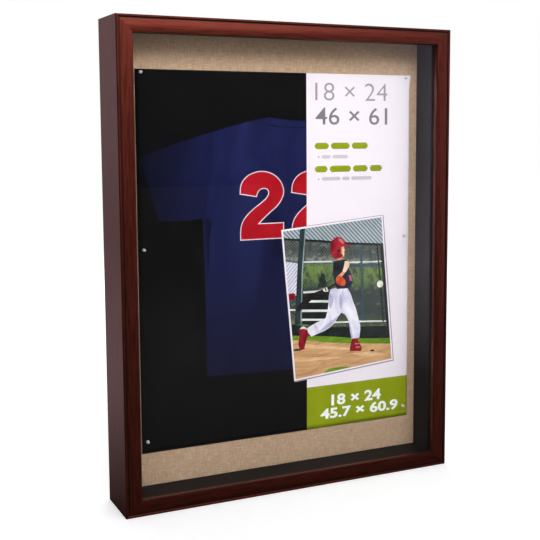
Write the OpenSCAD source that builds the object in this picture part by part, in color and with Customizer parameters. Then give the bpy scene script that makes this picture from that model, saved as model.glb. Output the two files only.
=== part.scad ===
// Shadow box display frame, loaded from the back.
// X runs across the frame, +Y from the front to the back, +Z up. The origin is the middle of the base.

/* [Opening] */
// Width of the rebate that takes the glass and the back
rebate_w = 457; // [300:1:700]
// Height of the rebate
rebate_h = 610; // [400:1:900]

/* [Moulding] */
// Depth of the moulding from front to back
frame_d = 84; // [70:1:120]
// Thickness of the moulding's side wall
wall_t = 16; // [16:0.5:24]
// How far the lip reaches in over the glass
lip_reach = 6; // [4:0.5:12]
// Thickness of the lip
lip_t = 8; // [7:0.5:12]
// Width of the round bead along the outer edge
bead_w = 4; // [3:0.5:6]
// Width of the groove beside the bead
groove_w = 1.2; // [0.8:0.1:2]
// Depth of the groove
groove_d = 2.2; // [1.5:0.1:3.5]
// Rise of the cushioned face between the groove and the sight edge
cushion_h = 0.8; // [0.3:0.1:1.5]
// Radius of the rounded sight edge
sight_r = 2.5; // [1:0.5:3]
// Radius of the outer rear edge
rear_r = 1.5; // [0.5:0.5:3]

/* [Glass and liners] */
// Thickness of the glass
glass_t = 2; // [1.5:0.5:4]
// Gap between the glass and the rebate on each side
glass_gap = 0.5; // [0.3:0.1:0.8]
// Thickness of the black side liners
liner_t = 1.5; // [1:0.5:3]

/* [Back] */
// Thickness of the rear panel
panel_t = 5; // [3:0.5:8]
// Gap between the back and the rebate on each side
panel_gap = 0.8; // [0.5:0.1:2]
// Thickness of the soft board that the pins go into
board_t = 14; // [12:1:18]
// Thickness of the linen
linen_t = 1; // [0.5:0.1:1.5]
// Gap between the linen and the liners
seat_gap = 0.3; // [0.2:0.1:0.5]

/* [Display sheet] */
// Width of the display sheet
sheet_w = 418; // [200:1:430]
// Height of the display sheet
sheet_h = 516; // [200:1:560]
// Thickness of the display sheet
sheet_t = 0.6; // [0.3:0.1:1.5]
// How far the sheet sits right of the middle
sheet_shift = 5; // [-5:1:5]

/* [Pins] */
// Distance from a pin to the side edge of the sheet
pin_side = 8; // [5:1:20]
// Distance from a top pin to the top edge of the sheet
pin_top = 4; // [4:1:20]
// Distance from a bottom pin to the bottom edge of the sheet
pin_foot = 16; // [4:1:30]
// How far a middle pin sits above the middle of the sheet
pin_rise = 20; // [0:1:60]
// Radius of the pin's needle
needle_r = 0.5; // [0.4:0.05:0.8]
// Length of needle beyond the back of the linen
needle_bite = 9; // [6:1:10]
// Length of needle held in the pin's head
needle_grip = 3; // [2:0.5:3.5]
// Radius of the collar at the foot of the pin's head
collar_r = 2.2; // [1.8:0.1:3]
// Radius of the knob at the end of the pin's head
knob_r = 1.8; // [1.4:0.1:3]
// Length of the pin's head
head_len = 5; // [4.5:0.5:8]
// Gap between the pin's head and the sheet
head_gap = 0.2; // [0.1:0.1:0.4]

/* [Turn buttons] */
// Distance from the frame's side to a button on the top or bottom rail
rail_button_edge = 110; // [80:1:140]
// Distance from the top or bottom to a button on a stile
stile_button_edge = 120; // [90:1:180]
// Distance from the pivot to the end circle's centre
button_reach = 21; // [18:1:30]
// Radius of the button round its screw
button_r = 5; // [4.2:0.1:6]
// Radius of the button's far end
button_tip_r = 3.4; // [2.5:0.1:4]
// Thickness of a button
button_t = 1.6; // [1:0.1:3]
// Gap under a button, and between the button and its screw's head
button_gap = 0.3; // [0.2:0.1:0.5]

/* [Screws and nails] */
// Radius of a screw's shank
screw_r = 1.7; // [1.2:0.1:2]
// Radius of a screw's head
screw_head_r = 3.3; // [2.8:0.1:4]
// Height of a screw's head
screw_head_h = 1.8; // [1.2:0.1:3]
// Length of a screw in the wood
screw_bite = 12; // [8:1:20]
// Radial clearance of a pin or screw in a hole that it turns or slides in
running_gap = 0.05; // [0.02:0.01:0.1]
// Length of a corner nail
nail_len = 10; // [7:1:15]
// Thickness of a corner nail's steel
nail_t = 0.6; // [0.4:0.1:1]
// How far a corner nail is sunk below the wood
nail_sink = 0.4; // [0.2:0.1:1]

/* [Hangers] */
// Distance from the frame's top to a hanger's hinge
hanger_drop = 190; // [170:1:260]
// Width of a hanger's strap
strap_w = 9; // [7:0.5:10]
// Thickness of a hanger's strap
strap_t = 1.2; // [0.8:0.1:1.5]
// Distance from the hinge to the strap's screw
strap_reach = 19; // [18:1:25]
// Radius of a ring's wire
wire_r = 1.2; // [1:0.1:1.4]
// Half width of a ring, at the middle of its wire
ring_r = 5.8; // [5.6:0.1:6.2]
// Length of a ring's straight legs
ring_leg = 6; // [5:0.5:8]
// How far a hanger's eye stands off the wood
eye_lift = 0.4; // [0.3:0.05:0.6]

/* [Hidden] */
$fn = 48;

// Outer sizes of the frame
face_w = wall_t + lip_reach;
outer_w = rebate_w + 2 * wall_t;
outer_h = rebate_h + 2 * wall_t;
y_front = -frame_d / 2;
y_back = frame_d / 2;
mid_z = outer_h / 2;

// Stations from the front to the back
glass_y = y_front + lip_t;
liner_y = glass_y + glass_t;
panel_y = y_back - panel_t;
board_y = panel_y - board_t;
linen_y = board_y - linen_t;
sheet_y = linen_y - sheet_t;
head_y = sheet_y - head_gap;

// The linen, the board and the rear panel
back_w = rebate_w - 2 * panel_gap;
back_h = rebate_h - 2 * panel_gap;

// Screws stand in the middle of the wall's rear face
screw_in = wall_t / 2;
button_y = y_back + button_gap;
button_x = outer_w / 2 - rail_button_edge;
button_z = mid_z - stile_button_edge;

// Pivot across, pivot height, and the way the button points at rest, in degrees from +X towards +Z
buttons = [
  [-button_x, outer_h - screw_in, 0], [button_x, outer_h - screw_in, 180],
  [-button_x, screw_in, 0], [button_x, screw_in, 180],
  [-outer_w / 2 + screw_in, mid_z + button_z, 270], [-outer_w / 2 + screw_in, mid_z - button_z, 90],
  [outer_w / 2 - screw_in, mid_z + button_z, 270], [outer_w / 2 - screw_in, mid_z - button_z, 90]
];

// Pins on the left edge from the top down, then on the right edge
pin_x = sheet_w / 2 - pin_side;
pin_rows = [sheet_h / 2 - pin_top, pin_rise, pin_foot - sheet_h / 2];
pins = [for (side = [-1, 1], row = pin_rows) [sheet_shift + side * pin_x, mid_z + row]];

// A hanger's hinge stands clear of the wood by its eye
eye_r = wire_r + running_gap + strap_t;
eye_y = y_back + eye_lift + eye_r;
hanger_x = outer_w / 2 - screw_in;
hanger_z = outer_h - hanger_drop;

// Corner nails: a V across the mitre, at two places along it
nail_half = 3.4;
nail_depth = 2.2;
nail_places = [9, 17];
corners = [[-1, 0, 0], [-1, 1, 90], [1, 1, 180], [1, 0, 270]];

// ---- Moulding ----

// Section of the moulding: depth from the front along x, distance in from the outer edge along y
module section() {
  face_from = bead_w + groove_w;
  half_face = (face_w - face_from) / 2;
  cushion_r = (half_face * half_face + cushion_h * cushion_h) / (2 * cushion_h);
  bead_r = bead_w / 2;
  translate([bead_r, 0]) square([frame_d - bead_r - rear_r, wall_t]);
  translate([frame_d - rear_r - 1, rear_r]) square([rear_r + 1, wall_t - rear_r]);
  translate([frame_d - rear_r, rear_r]) circle(rear_r);
  translate([bead_r, bead_r]) circle(bead_r);
  intersection() {
    translate([cushion_r, face_from + half_face]) circle(cushion_r, $fn = 200);
    union() {
      translate([0, face_from]) square([lip_t, face_w - face_from - sight_r]);
      translate([sight_r, face_from]) square([lip_t - sight_r, face_w - face_from]);
      translate([sight_r, face_w - sight_r]) circle(sight_r);
    }
  }
}

// The section with its groove cut, so the bead stands by itself
module grooved_section() {
  difference() {
    section();
    translate([-1, bead_w]) square([groove_d + 1, groove_w]);
  }
}

// A length of moulding on the XZ plane's +Z side, mitred at both ends
module rail(len) {
  intersection() {
    translate([-len / 2, y_front, 0]) rotate([90, 0, 90]) linear_extrude(len) grooved_section();
    translate([0, y_back + 1, 0]) rotate([90, 0, 0]) linear_extrude(frame_d + 2)
      polygon([[-len / 2, 0], [len / 2, 0], [len / 2 - face_w, face_w], [face_w - len / 2, face_w]]);
  }
}

module corner_nail_set() {
  for (c = corners)
    translate([c[0] * outer_w / 2, y_back - nail_sink, c[1] * outer_h]) rotate([0, c[2], 0])
      rotate([90, 0, 0]) linear_extrude(nail_len) rotate(45)
        for (place = nail_places) translate([place, 0])
          polygon([
            [-nail_depth, -nail_half], [0, 0], [-nail_depth, nail_half],
            [-nail_depth - nail_t, nail_half], [-nail_t, 0], [-nail_depth - nail_t, -nail_half]
          ]);
}

// The slots over the corner nails, open at the rear face
module corner_nail_slots() {
  corner_nail_set();
  translate([0, nail_sink, 0]) corner_nail_set();
}

// A round bar along +Y
module bar(r, from, to) {
  translate([0, from, 0]) rotate([-90, 0, 0]) cylinder(r = r, h = to - from);
}

module screw_holes() {
  for (b = buttons) translate([b[0], 0, b[1]]) bar(screw_r, y_back - screw_bite, y_back + 1);
  for (side = [-1, 1]) translate([side * hanger_x, 0, hanger_z - strap_reach])
    bar(screw_r, y_back - screw_bite, y_back + 1);
}

module drilled() {
  color([0.36, 0.12, 0.07]) difference() {
    children();
    screw_holes();
    corner_nail_slots();
  }
}

module top_rail() {
  drilled() translate([0, 0, outer_h]) rotate([0, 180, 0]) rail(outer_w);
}

module bottom_rail() {
  drilled() rail(outer_w);
}

module left_stile() {
  drilled() translate([-outer_w / 2, 0, mid_z]) rotate([0, 90, 0]) rail(outer_h);
}

module right_stile() {
  drilled() translate([outer_w / 2, 0, mid_z]) rotate([0, -90, 0]) rail(outer_h);
}

module corner_nails() {
  color("silver") corner_nail_set();
}

// ---- Glass and liners ----

// A board on the XZ plane, centred across and up the frame
module board(w, h, from, to) {
  translate([-w / 2, from, mid_z - h / 2]) cube([w, to - from, h]);
}

module glass_pane() {
  color([0.8, 0.9, 0.9, 0.2]) board(rebate_w - 2 * glass_gap, rebate_h - 2 * glass_gap, glass_y, liner_y);
}

module flat_liner(z) {
  color([0.09, 0.09, 0.09])
    translate([-rebate_w / 2, liner_y, z]) cube([rebate_w, linen_y - seat_gap - liner_y, liner_t]);
}

module upright_liner(x) {
  color([0.09, 0.09, 0.09]) translate([x, liner_y, wall_t + liner_t])
    cube([liner_t, linen_y - seat_gap - liner_y, rebate_h - 2 * liner_t]);
}

module top_liner() {
  flat_liner(outer_h - wall_t - liner_t);
}

module bottom_liner() {
  flat_liner(wall_t);
}

module left_liner() {
  upright_liner(-rebate_w / 2);
}

module right_liner() {
  upright_liner(rebate_w / 2 - liner_t);
}

// ---- Back ----

module needle_holes() {
  for (p = pins) translate([p[0], 0, p[1]])
    bar(needle_r + running_gap, sheet_y - 1, board_y + needle_bite + running_gap);
}

// Linen stretched over the board's front and edges
module linen_cover() {
  color([0.66, 0.56, 0.44]) difference() {
    board(back_w, back_h, linen_y, panel_y);
    board(back_w - 2 * linen_t, back_h - 2 * linen_t, board_y, panel_y + 1);
    needle_holes();
  }
}

module pin_board() {
  color([0.76, 0.68, 0.54]) difference() {
    board(back_w - 2 * linen_t, back_h - 2 * linen_t, board_y, panel_y);
    needle_holes();
  }
}

module back_panel() {
  color([0.45, 0.33, 0.22]) board(back_w, back_h, panel_y, y_back);
}

module display_sheet() {
  color([0.85, 0.84, 0.86]) difference() {
    translate([sheet_shift, 0, 0]) board(sheet_w, sheet_h, sheet_y, linen_y);
    needle_holes();
  }
}

// ---- Pins ----

module needle() {
  tip = 2 * needle_r;
  bar(needle_r, head_y - needle_grip, board_y + needle_bite - tip);
  translate([0, board_y + needle_bite - tip, 0]) rotate([-90, 0, 0])
    cylinder(r1 = needle_r, r2 = needle_r / 5, h = tip);
}

module head() {
  collar_h = 1;
  knob_h = 1.8;
  waist_r = (collar_r + knob_r) / 3;
  difference() {
    union() {
      bar(collar_r, head_y - collar_h, head_y);
      bar(waist_r, head_y - head_len + knob_h / 2, head_y - collar_h / 2);
      bar(knob_r, head_y - head_len, head_y - head_len + knob_h);
    }
    bar(needle_r, head_y - needle_grip, head_y + 1);
  }
}

module pin_head(i) {
  color([0.9, 0.93, 0.95, 0.6]) translate([pins[i][0], 0, pins[i][1]]) head();
}

module pin_needle(i) {
  color("lightgray") translate([pins[i][0], 0, pins[i][1]]) needle();
}

// ---- Turn buttons ----

// A flat plate that narrows from the pivot to its far end, with straight sides along both circles
module button_plate() {
  lean = asin((button_r - button_tip_r) / button_reach);
  circle(button_r);
  translate([button_reach, 0]) circle(button_tip_r);
  polygon([
    [button_r * sin(lean), button_r * cos(lean)],
    [button_r * sin(lean), -button_r * cos(lean)],
    [button_reach + button_tip_r * sin(lean), -button_tip_r * cos(lean)],
    [button_reach + button_tip_r * sin(lean), button_tip_r * cos(lean)]
  ]);
}

module turn_button(i) {
  color([0.62, 0.62, 0.6]) translate([buttons[i][0], button_y + button_t, buttons[i][1]])
    rotate([90, 0, 0]) linear_extrude(button_t) difference() {
      rotate(buttons[i][2]) button_plate();
      circle(screw_r + running_gap);
    }
}

// A screw along -Y whose head's underside is at y = seat
module screw(seat) {
  tip = 2 * screw_r;
  slot_l = 1.3 * screw_head_r;
  slot_w = screw_head_r / 4;
  slot_d = screw_head_h / 2;
  bar(screw_r, y_back - screw_bite + tip, seat + screw_head_h / 3);
  translate([0, y_back - screw_bite, 0]) rotate([-90, 0, 0]) cylinder(r1 = screw_r / 8, r2 = screw_r, h = tip);
  difference() {
    union() {
      bar(screw_head_r, seat, seat + screw_head_h / 2);
      translate([0, seat + screw_head_h / 2, 0]) rotate([-90, 0, 0])
        cylinder(r1 = screw_head_r, r2 = 0.7 * screw_head_r, h = screw_head_h / 2);
    }
    for (turn = [0, 90]) rotate([0, turn, 0])
      translate([-slot_l / 2, seat + screw_head_h - slot_d, -slot_w / 2]) cube([slot_l, slot_d + 1, slot_w]);
  }
}

module turn_button_screws() {
  color("silver") for (b = buttons) translate([b[0], 0, b[1]]) screw(button_y + button_t + button_gap);
}

// ---- Hangers ----

// A strap folded round the ring's bar, with its screw below the hinge
module strap(side) {
  color([0.7, 0.7, 0.68]) translate([side * hanger_x, 0, hanger_z]) difference() {
    union() {
      translate([-strap_w / 2, y_back, -strap_reach]) cube([strap_w, strap_t, strap_reach]);
      translate([0, 0, -strap_reach]) bar(strap_w / 2, y_back, y_back + strap_t);
      translate([-strap_w / 2, eye_y, 0]) rotate([0, 90, 0]) cylinder(r = eye_r, h = strap_w);
    }
    translate([-strap_w, eye_y, 0]) rotate([0, 90, 0]) cylinder(r = wire_r + running_gap, h = 2 * strap_w);
    translate([0, 0, -strap_reach]) bar(screw_r, y_back - 1, y_back + strap_t + 1);
  }
}

// A D-shaped ring that hangs down from its straight bar
module ring(side) {
  color([0.7, 0.7, 0.68]) translate([side * hanger_x, eye_y, hanger_z]) {
    translate([-ring_r, 0, 0]) rotate([0, 90, 0]) cylinder(r = wire_r, h = 2 * ring_r);
    for (end = [-1, 1]) translate([end * ring_r, 0, 0]) {
      sphere(wire_r);
      translate([0, 0, -ring_leg]) cylinder(r = wire_r, h = ring_leg);
    }
    translate([0, 0, -ring_leg]) rotate([-90, 0, 0]) rotate_extrude(angle = 180) translate([ring_r, 0])
      circle(wire_r);
  }
}

module left_hanger_strap() {
  strap(-1);
}

module right_hanger_strap() {
  strap(1);
}

module left_hanger_ring() {
  ring(-1);
}

module right_hanger_ring() {
  ring(1);
}

module hanger_screws() {
  color("silver") for (side = [-1, 1]) translate([side * hanger_x, 0, hanger_z - strap_reach])
    screw(y_back + strap_t);
}

top_rail();
bottom_rail();
left_stile();
right_stile();
corner_nails();
glass_pane();
top_liner();
bottom_liner();
left_liner();
right_liner();
linen_cover();
pin_board();
back_panel();
display_sheet();
pin_head(0);  // pin_head_1
pin_head(1);  // pin_head_2
pin_head(2);  // pin_head_3
pin_head(3);  // pin_head_4
pin_head(4);  // pin_head_5
pin_head(5);  // pin_head_6
pin_needle(0);  // pin_needle_1
pin_needle(1);  // pin_needle_2
pin_needle(2);  // pin_needle_3
pin_needle(3);  // pin_needle_4
pin_needle(4);  // pin_needle_5
pin_needle(5);  // pin_needle_6
turn_button(0);  // turn_button_1
turn_button(1);  // turn_button_2
turn_button(2);  // turn_button_3
turn_button(3);  // turn_button_4
turn_button(4);  // turn_button_5
turn_button(5);  // turn_button_6
turn_button(6);  // turn_button_7
turn_button(7);  // turn_button_8
turn_button_screws();
left_hanger_strap();
right_hanger_strap();
left_hanger_ring();
right_hanger_ring();
hanger_screws();
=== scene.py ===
import math

import bmesh
import bpy
from mathutils import Matrix, Vector, noise


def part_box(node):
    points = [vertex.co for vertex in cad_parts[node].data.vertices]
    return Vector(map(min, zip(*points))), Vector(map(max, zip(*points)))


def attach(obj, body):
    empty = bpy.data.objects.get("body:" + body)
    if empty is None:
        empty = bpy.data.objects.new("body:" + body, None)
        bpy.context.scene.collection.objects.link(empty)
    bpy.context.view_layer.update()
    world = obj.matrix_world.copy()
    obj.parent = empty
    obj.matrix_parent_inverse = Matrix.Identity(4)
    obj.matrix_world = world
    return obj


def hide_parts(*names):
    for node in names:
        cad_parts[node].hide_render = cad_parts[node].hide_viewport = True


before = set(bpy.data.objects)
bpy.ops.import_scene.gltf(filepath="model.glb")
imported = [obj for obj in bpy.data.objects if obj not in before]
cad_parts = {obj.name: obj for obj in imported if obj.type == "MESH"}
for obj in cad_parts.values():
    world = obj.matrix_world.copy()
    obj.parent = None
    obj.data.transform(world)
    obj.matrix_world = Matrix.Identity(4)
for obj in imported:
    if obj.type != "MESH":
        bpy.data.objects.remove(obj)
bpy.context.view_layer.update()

scene = bpy.context.scene
scene.view_settings.view_transform = "Standard"
mm = 0.001


# node and mesh helpers

def rgb(red, green, blue):
    # a colour as a paint chart gives it, 0 to 255, turned to linear light
    def linear(value):
        value /= 255
        return value / 12.92 if value <= 0.04045 else ((value + 0.055) / 1.055) ** 2.4
    return (linear(red), linear(green), linear(blue), 1.0)


def newMaterial(name, **sockets):
    mat = bpy.data.materials.new(name)
    mat.use_nodes = True
    mat.node_tree.nodes.clear()
    shader = addNode(mat, "BsdfPrincipled", **sockets)
    out = addNode(mat, "OutputMaterial")
    mat.node_tree.links.new(shader.outputs[0], out.inputs[0])
    return mat, shader


def addNode(mat, kind, settings=None, **sockets):
    tree = mat.node_tree
    made = tree.nodes.new("ShaderNode" + kind)
    for key, value in (settings or {}).items():
        setattr(made, key, value)
    for key, value in sockets.items():
        plug(mat, value, made.inputs[key.replace("_", " ")])
    return made


def plug(mat, value, socket):
    if isinstance(value, bpy.types.NodeSocket):
        mat.node_tree.links.new(value, socket)
    else:
        socket.default_value = value


def maths(mat, operation, a, b=0.0):
    made = addNode(mat, "Math", {"operation": operation})
    plug(mat, a, made.inputs[0])
    plug(mat, b, made.inputs[1])
    return made.outputs[0]


def mixColour(mat, factor, a, b):
    made = addNode(mat, "Mix", {"data_type": "RGBA"})
    plug(mat, factor, made.inputs[0])
    plug(mat, a, made.inputs[6])
    plug(mat, b, made.inputs[7])
    return made.outputs[2]


def ramp(mat, factor, stops):
    made = addNode(mat, "ValToRGB", Fac=factor)
    row = made.color_ramp.elements
    while len(row) < len(stops):
        row.new(0.5)
    for element, (place, colour) in zip(row, stops):
        element.position = place
        element.color = colour
    return made.outputs[0]


def spread(mat, factor, low, high, fromLow=0.0, fromHigh=1.0):
    made = addNode(mat, "MapRange", {"clamp": True}, Value=factor)
    for name, value in (("From Min", fromLow), ("From Max", fromHigh), ("To Min", low), ("To Max", high)):
        made.inputs[name].default_value = value
    return made.outputs[0]


def washed(mat, base, other, factor, amount, fromLow, fromHigh):
    # another colour laid over the base, more of it as the factor rises between the two marks
    return mixColour(mat, spread(mat, factor, 0.0, amount, fromLow, fromHigh), base, other)


def objectCoords(mat):
    return addNode(mat, "TexCoord").outputs["Object"]


def stretched(mat, coords, scale):
    return addNode(mat, "Mapping", Vector=coords, Scale=scale).outputs[0]


def tilted(mat, coords, degrees):
    return addNode(mat, "Mapping", Vector=coords, Rotation=(0, math.radians(degrees), 0)).outputs[0]


def noiseOf(mat, coords, scale, detail=3.0, roughness=0.5, distortion=0.0):
    made = addNode(mat, "TexNoise", Vector=coords, Scale=scale, Detail=detail)
    made.inputs["Roughness"].default_value = roughness
    made.inputs["Distortion"].default_value = distortion
    return made.outputs[0]


def bandsOf(mat, coords, direction, pitch, distortion=0.0):
    # at a scale of one the wave texture repeats every 2 pi / 20 units
    scale = 2 * math.pi / 20 / pitch
    made = addNode(mat, "TexWave", {"bands_direction": direction}, Vector=coords, Scale=scale)
    made.inputs["Distortion"].default_value = distortion
    return made.outputs["Fac"]


def bumpInto(mat, shader, height, distance, strength=1.0, after=None):
    made = addNode(mat, "Bump", Height=height, Strength=strength, Distance=distance)
    if after is not None:
        plug(mat, after, made.inputs["Normal"])
    plug(mat, made.outputs[0], shader.inputs["Normal"])
    return made.outputs[0]


def link(name, mesh, materials=()):
    obj = bpy.data.objects.new(name, mesh)
    bpy.context.collection.objects.link(obj)
    for mat in materials:
        mesh.materials.append(mat)
    return obj


def dress(nodeName, mat):
    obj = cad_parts[nodeName]
    obj.data.materials.clear()
    obj.data.materials.append(mat)
    return obj


def easeEdges(obj, width, segments=2, angle=35):
    made = obj.modifiers.new("easedEdges", "BEVEL")
    made.width = width
    made.segments = segments
    made.limit_method = "ANGLE"
    made.angle_limit = math.radians(angle)


def thicken(obj, name, thickness):
    made = obj.modifiers.new(name, "SOLIDIFY")
    made.thickness = thickness
    made.offset = -1
    return made


def meshOf(name, bm):
    mesh = bpy.data.meshes.new(name)
    bm.to_mesh(mesh)
    bm.free()
    return mesh


# stained wood

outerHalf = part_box("right_stile")[1].x
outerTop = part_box("top_rail")[1].z
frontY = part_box("top_rail")[0].y

woodLook = {
    "dark": rgb(22, 8, 5),
    "body": rgb(31, 12, 6),
    "warm": rgb(48, 18, 9),
    "pore": rgb(14, 5, 4),
    "sheen": (1.0, 0.19, 0.13, 1),
    "sheenLow": (0.62, 0.1, 0.065, 1),
    "sheenDull": (0.4, 0.3, 0.25, 1),
    "raw": rgb(158, 118, 80),
    "rawDark": rgb(112, 78, 48),
    "rawStained": rgb(96, 48, 30),
    "roughness": 0.42,
    "grain": (5, 70),            # along and across the grain
    "pores": (45, 900),
    "grooveFrom": 4.0 * mm,      # the groove's place, in from the outer edge
    "grooveTo": 5.2 * mm,
}


def woodMaterial(name, along):
    look = woodLook
    mat, shader = newMaterial(name, Roughness=look["roughness"], IOR=1.7, Specular_IOR_Level=0.9)
    coords = objectCoords(mat)
    across = along == "X"

    def run(pair, times=1):
        length, width = pair[0] * times, pair[1] * times
        return stretched(mat, coords, (length, width, width) if across else (width, width, length))

    grain = noiseOf(mat, run(look["grain"]), 1.0, 6.0, 0.6, 0.8)
    fine = noiseOf(mat, run(look["grain"], 6), 1.0, 4.0, 0.6)
    pores = noiseOf(mat, run(look["pores"]), 1.0, 2.0, 0.5)
    cloudy = noiseOf(mat, coords, 9.0, 2.0, 0.5)
    shade = maths(mat, "ADD", maths(mat, "MULTIPLY", grain, 0.65), maths(mat, "MULTIPLY", fine, 0.35))
    stain = ramp(mat, shade, [(0.3, look["dark"]), (0.52, look["body"]), (0.72, look["warm"])])
    stain = washed(mat, stain, look["body"], cloudy, 0.45, 0.35, 0.65)
    stain = washed(mat, stain, look["pore"], pores, 0.7, 0.6, 0.72)
    # the groove is painted darker near the front, as painted shade in the recess
    split = addNode(mat, "SeparateXYZ", Vector=coords)
    if across:
        fromEdge = maths(mat, "MINIMUM", split.outputs[2], maths(mat, "SUBTRACT", outerTop, split.outputs[2]))
    else:
        fromEdge = maths(mat, "SUBTRACT", outerHalf, maths(mat, "ABSOLUTE", split.outputs[0]))
    middle = (look["grooveFrom"] + look["grooveTo"]) / 2
    offGroove = maths(mat, "ABSOLUTE", maths(mat, "SUBTRACT", fromEdge, middle))
    inGroove = spread(mat, offGroove, 0.6, 0.0, 0.5 * mm, 1.6 * mm)
    nearFront = spread(mat, split.outputs[1], 1.0, 0.0, frontY + 3 * mm, frontY + 6 * mm)
    paintedGrooveShade = maths(mat, "MULTIPLY", inGroove, nearFront)
    stain = mixColour(mat, paintedGrooveShade, stain, look["pore"])
    # the rear face is bare wood with a little stain run over its edges
    facing = addNode(mat, "SeparateXYZ", Vector=addNode(mat, "TexCoord").outputs["Normal"])
    bare = ramp(mat, shade, [(0.3, look["rawDark"]), (0.6, look["raw"]), (0.8, look["raw"])])
    bare = washed(mat, bare, look["rawStained"], cloudy, 0.35, 0.45, 0.7)
    rear = spread(mat, facing.outputs[1], 0.0, 1.0, 0.8, 0.95)
    plug(mat, mixColour(mat, rear, stain, bare), shader.inputs["Base Color"])
    # lacquer over stained fibres gives back a red sheen, streaked along the grain
    streaks = maths(mat, "ADD", maths(mat, "MULTIPLY", fine, 0.7), maths(mat, "MULTIPLY", grain, 0.3))
    tint = washed(mat, look["sheenLow"], look["sheen"], streaks, 1.0, 0.38, 0.56)
    # the groove's sheen is dulled too, as painted shade; the bare rear face is dull in its own right
    tint = mixColour(mat, maths(mat, "MAXIMUM", rear, paintedGrooveShade), tint, look["sheenDull"])
    plug(mat, tint, shader.inputs["Specular Tint"])
    rough = spread(mat, fine, look["roughness"] - 0.05, look["roughness"] + 0.06, 0.3, 0.7)
    plug(mat, maths(mat, "MAXIMUM", rough, maths(mat, "MULTIPLY", rear, 0.75)), shader.inputs["Roughness"])
    deep = bumpInto(mat, shader, pores, 0.02 * mm, 0.35)
    bumpInto(mat, shader, shade, 0.1 * mm, 0.5, deep)
    return mat


woodAcross = woodMaterial("woodAcross", "X")
woodUpright = woodMaterial("woodUpright", "Z")
for nodeName, mat in (("top_rail", woodAcross), ("bottom_rail", woodAcross),
                      ("left_stile", woodUpright), ("right_stile", woodUpright)):
    easeEdges(dress(nodeName, mat), 0.2 * mm)
print("wood stained")


# glass, liners and the hidden boards

paneLook = {
    "tint": (0.98, 0.995, 0.99, 1),
    "shadowTint": (0.96, 0.98, 0.97, 1),
    "gloss": 0.25,
}

linerLook = {
    "dark": rgb(9, 9, 11),
    "pale": rgb(16, 16, 19),
    "worn": rgb(20, 20, 23),
    "gloss": 0.12,
}

boardLooks = {
    # node, then the material's name, two tones, flecks and roughness
    "pin_board": ("softBoard", rgb(176, 150, 112), rgb(206, 184, 146), rgb(140, 112, 78), 0.9),
    "back_panel": ("hardBoard", rgb(104, 72, 46), rgb(132, 96, 64), rgb(74, 48, 30), 0.55),
}


def glassMaterial():
    # lamps shine straight through the pane, and the eye sees a thin clear sheet
    look = paneLook
    mat, shader = newMaterial("paneGlass", Base_Color=look["tint"], Roughness=0.0, IOR=1.45,
                              Transmission_Weight=1.0, Specular_IOR_Level=look["gloss"])
    path = addNode(mat, "LightPath")
    clear = addNode(mat, "BsdfTransparent", Color=look["shadowTint"])
    both = addNode(mat, "MixShader")
    out = mat.node_tree.nodes["Material Output"]
    plug(mat, path.outputs["Is Shadow Ray"], both.inputs[0])
    plug(mat, shader.outputs[0], both.inputs[1])
    plug(mat, clear.outputs[0], both.inputs[2])
    plug(mat, both.outputs[0], out.inputs[0])
    return mat


def linerMaterial():
    look = linerLook
    mat, shader = newMaterial("linerCard", Roughness=0.6, Specular_IOR_Level=look["gloss"])
    coords = objectCoords(mat)
    speckle = noiseOf(mat, coords, 900.0, 3.0, 0.6)
    patches = noiseOf(mat, coords, 25.0, 2.0, 0.5)
    base = ramp(mat, speckle, [(0.35, look["dark"]), (0.65, look["pale"])])
    base = washed(mat, base, look["worn"], patches, 0.3, 0.4, 0.7)
    plug(mat, base, shader.inputs["Base Color"])
    bumpInto(mat, shader, speckle, 0.05 * mm, 0.4)
    return mat


def boardMaterial(name, low, high, flecks, roughness):
    mat, shader = newMaterial(name, Roughness=roughness)
    coords = objectCoords(mat)
    fibre = noiseOf(mat, stretched(mat, coords, (420, 420, 160)), 1.0, 5.0, 0.65, 0.6)
    patches = noiseOf(mat, coords, 14.0, 3.0, 0.5)
    base = ramp(mat, fibre, [(0.32, low), (0.68, high)])
    base = washed(mat, base, low, patches, 0.35, 0.4, 0.65)
    fleck = noiseOf(mat, stretched(mat, coords, (700, 700, 300)), 1.0, 2.0, 0.5, 1.5)
    base = washed(mat, base, flecks, fleck, 0.6, 0.66, 0.74)
    plug(mat, base, shader.inputs["Base Color"])
    bumpInto(mat, shader, fibre, 0.08 * mm, 0.4)
    return mat


easeEdges(dress("glass_pane", glassMaterial()), 0.2 * mm, 1)
liner = linerMaterial()
for side in ("top", "bottom", "left", "right"):
    easeEdges(dress(side + "_liner", liner), 0.15 * mm, 1)
for nodeName, look in boardLooks.items():
    easeEdges(dress(nodeName, boardMaterial(*look)), 0.4 * mm)
print("glass, liners and boards dressed")


# linen stretched over the board

linenLook = {
    "thread": 0.85 * mm,       # pitch of the weave
    "cornerRound": 1.6 * mm,
    "pucker": 0.25 * mm,
    "puckersPerMetre": 14,
    "gridStep": 9.0 * mm,
    "roundSteps": 4,           # of the mesh round the board's edge
    "sideSteps": 3,            # and down its side
    "thickness": 0.8 * mm,
    "yarns": (rgb(168, 137, 111), rgb(187, 154, 127), rgb(206, 174, 147)),
    "gap": rgb(122, 95, 72),
    "patch": rgb(174, 143, 117),
}


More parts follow.
